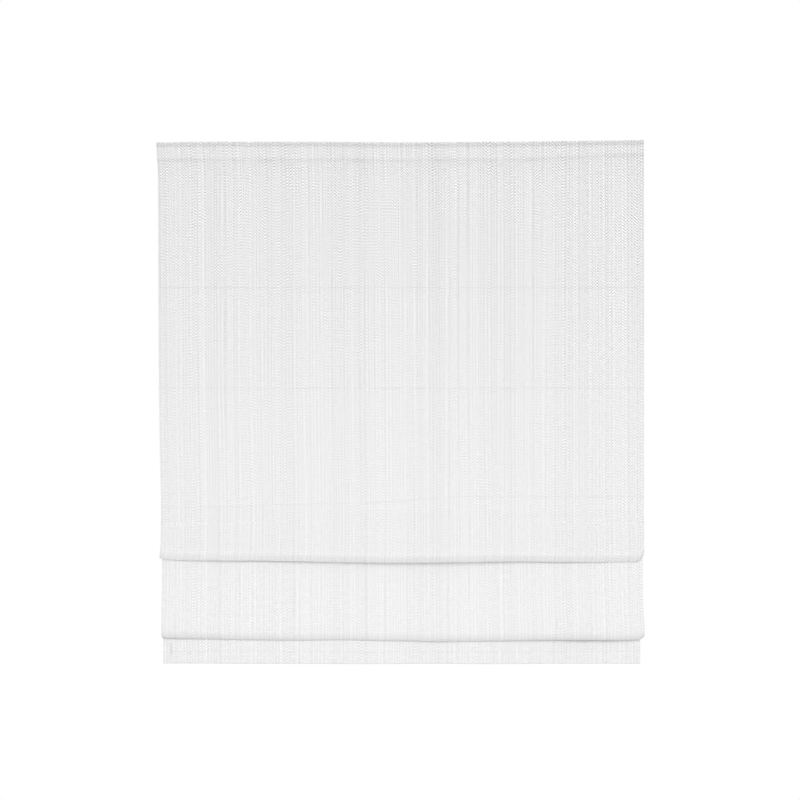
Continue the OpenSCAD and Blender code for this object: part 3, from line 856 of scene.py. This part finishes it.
def drawn_steel_material(name, colour, roughness):
    """Steel drawn through a die, which has a bright shine broken by fine lines along its length."""
    material, tree, shader = blank(name)
    lines = grained(tree, (20 * MM, 0.25 * MM, 0.25 * MM))
    connect(tree, shader, {
        "Base Color": toned(tree, colour, lines, 0.92, 1.04),
        "Metallic": 1.0,
        "Roughness": roughness,
        "Normal": add(tree, BUMP, {"Height": lines, "Distance": 0.01 * MM}),
    })
    return material


def glass_fibre_material():
    """Pultruded glass fibre, which is a glossy white with its strands showing along the rod."""
    material, tree, shader = blank("white_glass_fibre_rod")
    strands = grained(tree, (40 * MM, 0.35 * MM, 0.35 * MM), 3.0)
    connect(tree, shader, {
        "Base Color": toned(tree, "E6E5E0", strands, 0.93, 1.03),
        "Roughness": 0.35,
        "Normal": add(tree, BUMP, {"Height": strands, "Distance": 0.01 * MM}),
    })
    return material


slot_materials = {
    "cloth": cloth_material(),
    "tape": tape_material(),
    "band": band_material(),
    "rail": powder_coat_material(),
    "bracket": zinc_material(),
    "white_plastic": plastic_material("white_moulded_acetal", "EDEDEA", 0.42),
    "grey_plastic": plastic_material("grey_moulded_acetal", "CDCFD0", 0.38),
    "shaft_steel": drawn_steel_material("drawn_steel_shaft", "B9BBBE", 0.3),
    "spring_steel": drawn_steel_material("oiled_spring_wire", "8A8D92", 0.26),
    "rod": glass_fibre_material(),
}
slot_materials["bar"] = slot_materials["bracket"]
thread = thread_material()

for row in frame["record"]["subparts"]:
    mesh = nodes[row["node"]].data
    mesh.materials.clear()
    mesh.materials.append(slot_materials[row["material_slot"]])


# Cloth

# Marks along the cloth in order, each with the step of the rows that lead to it, in millimetres
ROW_STEPS = {
    "top_back": 9, "front": 0.3,
    "upper_start": 10, "upper_front": 3.5, "upper_back": 0.9, "upper_over": 5, "upper_end": 1,
    "lower_start": 4, "lower_front": 4.5, "lower_back": 1.2, "lower_over": 6, "lower_end": 1,
    "hem_front": 5, "hem_back": 0.7, "end": 3,
}
COLUMN_STEP = 10.2 * MM
EDGE_W = 28 * MM

# Closer rows beside the stitch lines, below the top edge and behind the folds' edges, and closer columns at
# the side hems, in millimetres
STITCH_ROWS = (0, 0.7, 1.4, 2.2, 3.2, 4.8, 7.5)
TOP_ROWS = (1, 2, 3.5, 5, 6.5, 8, 12)
SHADOW_ROWS = range(-7, 5)
EDGE_COLUMNS = (0, 1, 2.5, 5, 8, 10.5, 12, 13, 14, 15, 16, 17, 18, 19.5, 22)


def cloth_rows():
    """Lengths along the cloth of the mesh's rows."""
    close = [line.s + side * row * MM for line in STITCH_LINES for row in STITCH_ROWS for side in (1, -1)]
    close += [FRONT_S + row * MM for row in TOP_ROWS]
    close += [s + row * MM for s in (UNDER_UPPER_S, UNDER_LOWER_S) for row in SHADOW_ROWS]
    stops = [0] + [mark_s[name] for name in ROW_STEPS]
    spans = [(start, end, step * MM) for start, end, step in zip(stops, stops[1:], ROW_STEPS.values())]
    return spaced(spans, close)


def cloth_columns():
    """Places across the cloth of the mesh's columns."""
    close = [side * (HALF_W - column * MM) for column in EDGE_COLUMNS for side in (1, -1)]
    return spaced([(EDGE_W - HALF_W, HALF_W - EDGE_W, COLUMN_STEP)], close)


def cloth_sheet(rows):
    """The folded cloth, with rows that follow its tilted stitch lines."""
    s, x = np.meshgrid(rows, cloth_columns(), indexing="ij")
    s = s + sum(line.tilt(x) * bell(s - line.s, line.lean_h) for line in STITCH_LINES)
    uv = np.stack([x + HALF_W, s], axis=-1)
    obj = thick_grid("cloth_sheet", cloth_points(s, x), CLOTH_T, uv, thread_and_painted_shade(s, x))
    obj.data.materials.append(slot_materials["cloth"])
    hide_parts("cloth_panel")
    hangs(obj)
    return obj


def side_hem(name, rows, inner, outer):
    """The cloth's side edge, turned in on the back and blind stitched."""
    s, x = np.meshgrid(rows, np.linspace(inner, outer, STRIP_COLUMNS), indexing="ij")
    points = cloth_points(s, x)
    points = points + surface_normals(points) * ((CLOTH_T - SIDE_HEM_T) / 2 + SIDE_HEM_STEP)
    obj = thick_grid(name, points, SIDE_HEM_T, np.stack([x + HALF_W, s], axis=-1), 0 * s)
    obj.data.materials.append(slot_materials["cloth"])
    hangs(obj)
    return obj


row_s = cloth_rows()
cloth = cloth_sheet(row_s)
hem_rows = row_s[(row_s > FRONT_S + 2 * MM) & (row_s < mark_s["hem_front"] - 2 * MM)]
side_hems = [
    side_hem("side_hem_left", hem_rows, SIDE_HEM_INSET - HALF_W, SIDE_HEM_W - HALF_W),
    side_hem("side_hem_right", hem_rows, HALF_W - SIDE_HEM_W, HALF_W - SIDE_HEM_INSET),
]


# Stitching

STITCH_PITCH = 4.2 * MM
FRONT_STITCH = (2.9 * MM, 0.5 * MM, 0.35 * MM)
POCKET_STITCH = (2.9 * MM, 0.3 * MM, 0.5 * MM)
STITCH_PROUD = 0.05 * MM
FRONT_END_GAP = 4 * MM  # from the last stitch to the cloth's edge
POCKET_END_GAP = 3 * MM
POCKET_EDGE_GAP = 1.4 * MM  # from a row of stitches to the tape's edge
POCKET_STITCH_BACK = 0.6 * MM  # how far behind the pocket's front its stitches lie


def stitch_tree():
    """Geometry nodes that lay a row of stitches along each line of a mesh of edges."""
    tree = bpy.data.node_groups.new("stitch_rows", "GeometryNodeTree")
    tree.interface.new_socket("Lines", in_out="INPUT", socket_type="NodeSocketGeometry")
    tree.interface.new_socket("Pitch", in_out="INPUT", socket_type="NodeSocketFloat")
    tree.interface.new_socket("Size", in_out="INPUT", socket_type="NodeSocketVector")
    tree.interface.new_socket("Thread", in_out="INPUT", socket_type="NodeSocketMaterial")
    tree.interface.new_socket("Stitches", in_out="OUTPUT", socket_type="NodeSocketGeometry")
    node = partial(add, tree)
    given = node("NodeGroupInput").outputs
    curve = node("GeometryNodeMeshToCurve", [given["Lines"]])
    dots = node("GeometryNodeResampleCurve", {"Curve": curve, "Length": given["Pitch"]}, mode="LENGTH")
    bead = node("GeometryNodeMeshUVSphere", {"Segments": 6, "Rings": 4, "Radius": 0.5})
    stitch = node("GeometryNodeTransform", {"Geometry": bead, "Scale": given["Size"]})
    tangent = node("GeometryNodeInputTangent")
    turn = node("FunctionNodeAlignRotationToVector", {"Vector": tangent}, axis="X")
    rows = node("GeometryNodeInstanceOnPoints", {"Points": dots, "Instance": stitch, "Rotation": turn})
    soft = node("GeometryNodeSetShadeSmooth", [node("GeometryNodeRealizeInstances", [rows])])
    sewn = node("GeometryNodeSetMaterial", {"Geometry": soft, "Material": given["Thread"]})
    node("NodeGroupOutput", [sewn])
    return tree


STITCH_TREE = stitch_tree()


def stitches(name, lines, size):
    """A mesh of stitches along lines of points."""
    points = []
    edges = []
    for line in lines:
        edges += [(len(points) + i, len(points) + i + 1) for i in range(len(line) - 1)]
        points += [tuple(point) for point in line]
    mesh = bpy.data.meshes.new(name + "_lines")
    mesh.from_pydata(points, edges, [])
    guide = place(name + "_guide", mesh)
    modifier = guide.modifiers.new("stitch_rows", "NODES")
    modifier.node_group = STITCH_TREE
    values = {"Pitch": STITCH_PITCH, "Size": size, "Thread": thread}
    for item in STITCH_TREE.interface.items_tree:
        if item.name in values:
            modifier[item.identifier] = values[item.name]
    evaluated = guide.evaluated_get(bpy.context.evaluated_depsgraph_get())
    made = bpy.data.meshes.new_from_object(evaluated)
    bpy.data.objects.remove(guide)
    return place(name, made)


def front_line(s, x):
    """Points just proud of the cloth's front along a stitch line."""
    step = 0.5 * MM
    across = cloth_points(s, x + step) - cloth_points(s, x - step)
    along = cloth_points(s + step, x) - cloth_points(s - step, x)
    return cloth_points(s, x) - unit(np.cross(across, along)) * (CLOTH_T / 2 + STITCH_PROUD)


def front_stitching():
    """The rows of stitches that cross the front, and the tack at the hem's left end."""
    x = np.linspace(FRONT_END_GAP - HALF_W, HALF_W - FRONT_END_GAP, 120)
    lines = [front_line(line.s + line.tilt(x), x) for line in STITCH_LINES]
    s = np.linspace(TACK_S - TACK_H / 2, TACK_S + TACK_H / 2, 6)
    lines.append(front_line(s, np.full_like(s, TACK_X)))
    obj = stitches("front_stitches", lines, FRONT_STITCH)
    hangs(obj)
    return obj


def pocket_stitches(i):
    """The two rows of stitches that hold a rod pocket's tape to the cloth."""
    low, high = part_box(f"rod_pocket_{i}")
    y = low.y + POCKET_STITCH_BACK
    ends = (low.x + POCKET_END_GAP, high.x - POCKET_END_GAP)
    heights = (low.z + POCKET_EDGE_GAP, high.z - POCKET_EDGE_GAP)
    lines = [[(x, y, z) for x in ends] for z in heights]
    obj = stitches(f"pocket_stitches_{i}", lines, POCKET_STITCH)
    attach(obj, f"rod_{i}")


front_stitches = front_stitching()
for i in RODS:
    pocket_stitches(i)


# Lift bands

def lift_band(side):
    """A flat woven band from its spool down to its anchor, in place of the plain CAD strip."""
    low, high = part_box(f"lift_band_{side}")
    rows = np.linspace(0, high.z - low.z, BAND_ROWS)
    s, x = np.meshgrid(rows, np.linspace(low.x, high.x, STRIP_COLUMNS), indexing="ij")
    points = np.stack([x, 0 * x + (low.y + high.y) / 2, high.z - s], axis=-1)
    obj = thick_grid(f"woven_band_{side}", points, high.y - low.y, np.stack([x, s], axis=-1))
    obj.data.materials.append(slot_materials["band"])
    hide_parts(f"lift_band_{side}")
    hangs(obj)


for side in SIDES:
    lift_band(side)


# Stage, light and camera

OVERHEAD = 0.6
OVERHEAD_FROM = (0.3, 0.6)  # heights of view, from -1 straight down to 1 straight up
UNDERFOOT = 0.2
UNDERFOOT_FROM = (-0.6, -0.3)
KEY_STRENGTH = 1.2
KEY_RISE = math.radians(19)
KEY_SIDE = math.radians(8)
KEY_SPREAD = math.radians(45)
FILL_POWER = 1.6
FILL_SIZE = (2.0, 0.5)
FILL_AT = (0, -1.05, -0.85)
FLOOR_Z = -1.9
FLOOR_R = 2.5
FLOOR_FADE = (0.35 * FLOOR_R, 0.97 * FLOOR_R)
UPRIGHT = math.radians(90)
PIXEL = 2.053 * MM
PICTURE = 800
CAMERA_GAP = 4.0
CAMERA_X = -1 * MM
CAMERA_Z = -511.5 * MM


def studio_world():
    """A white studio all round, a little dimmer overhead and dim underfoot."""
    world = bpy.data.worlds.new("white_studio")
    bpy.context.scene.world = world
    world.use_nodes = True
    tree = world.node_tree
    height = add(tree, SPLIT, [add(tree, COORDINATES).outputs["Generated"]]).outputs[2]
    under = add(tree, RANGE, [height, *UNDERFOOT_FROM, UNDERFOOT, 1.0])
    over = add(tree, RANGE, [height, *OVERHEAD_FROM, 1.0, OVERHEAD])
    strength = add(tree, MATH, [under, over], operation="MULTIPLY")
    connect(tree, tree.nodes["Background"], {"Color": linear("FFFFFF"), "Strength": strength})


def pale_floor():
    """A pale floor below the blind that fades out into the studio."""
    corners = [(x * FLOOR_R, y * FLOOR_R, FLOOR_Z) for x, y in ((-1, -1), (1, -1), (1, 1), (-1, 1))]
    mesh = bpy.data.meshes.new("floor")
    mesh.from_pydata(corners, [], [(0, 1, 2, 3)])
    material, tree, shader = blank("pale_studio_floor")
    connect(tree, shader, {"Base Color": linear("E3E3E3"), "Roughness": 0.8})
    here = add(tree, COORDINATES).outputs["Object"]
    away = add(tree, VECTOR, [here, (0, 0, FLOOR_Z)], operation="DISTANCE").outputs["Value"]
    clear = add(tree, RANGE, [away, *FLOOR_FADE, 0.0, 1.0])
    faded = add(tree, "ShaderNodeMixShader", [clear, shader, add(tree, "ShaderNodeBsdfTransparent")])
    connect(tree, tree.nodes["Material Output"], {"Surface": faded})
    mesh.materials.append(material)
    place("floor", mesh)


def key_light():
    """A broad, even light from the room, a little above the blind."""
    data = bpy.data.lights.new("key", "SUN")
    data.energy = KEY_STRENGTH
    data.angle = KEY_SPREAD
    place("key", data).rotation_euler = (UPRIGHT - KEY_RISE, 0, KEY_SIDE)


def low_fill():
    """A long soft light in front of the folds."""
    data = bpy.data.lights.new("low_fill", "AREA")
    data.shape = "RECTANGLE"
    data.size, data.size_y = FILL_SIZE
    data.energy = FILL_POWER
    obj = place("low_fill", data)
    obj.location = FILL_AT
    obj.rotation_euler = (UPRIGHT, 0, 0)


def front_camera():
    """A camera straight in front, which sees the cloth's face at the photograph's scale."""
    data = bpy.data.cameras.new("camera")
    data.sensor_width = 36
    data.lens = data.sensor_width * CAMERA_GAP / (PICTURE * PIXEL)
    obj = place("camera", data)
    obj.location = (CAMERA_X, cloth_y - CLOTH_T / 2 - CAMERA_GAP, CAMERA_Z)
    obj.rotation_euler = (UPRIGHT, 0, 0)
    bpy.context.scene.camera = obj


studio_world()
pale_floor()
key_light()
low_fill()
front_camera()
bpy.context.scene.view_settings.view_transform = "Standard"
